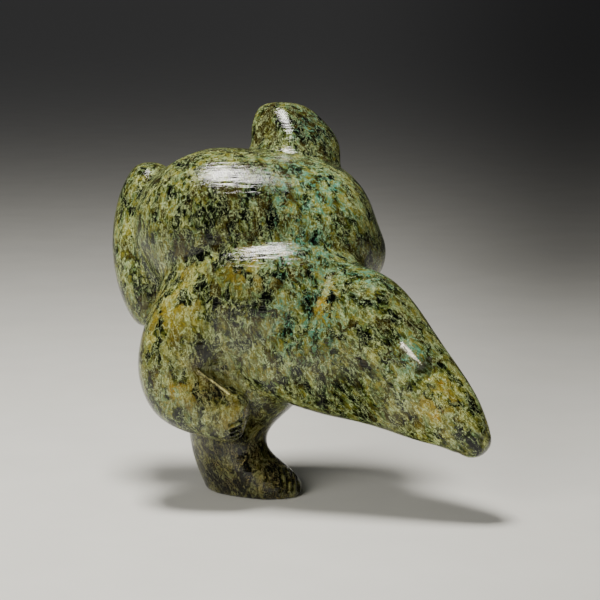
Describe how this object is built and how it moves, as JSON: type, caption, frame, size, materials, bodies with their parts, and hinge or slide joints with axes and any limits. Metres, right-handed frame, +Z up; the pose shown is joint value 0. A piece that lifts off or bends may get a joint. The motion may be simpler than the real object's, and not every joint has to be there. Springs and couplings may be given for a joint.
{
  "type": "carved stone bear",
  "caption": "Polished green stone carving of a bear that balances on one forefoot, head stretched low and hind legs in the air; a shelf or table sculpture that stands by its own weight.",
  "frame": {"origin": "middle of the flat sole that the carving stands on, at table height", "axes": "+Z up; +X the way the nose and the toes of the standing foot point, seen from the front; -Y towards the viewer, so that the front view looks along +Y"},
  "size_m": [0.2408, 0.1566, 0.2491],
  "materials": {
    "serpentine": "polished"
  },
  "bodies": {
    "root": {"bear": "serpentine"}
  },
  "joints": []
}
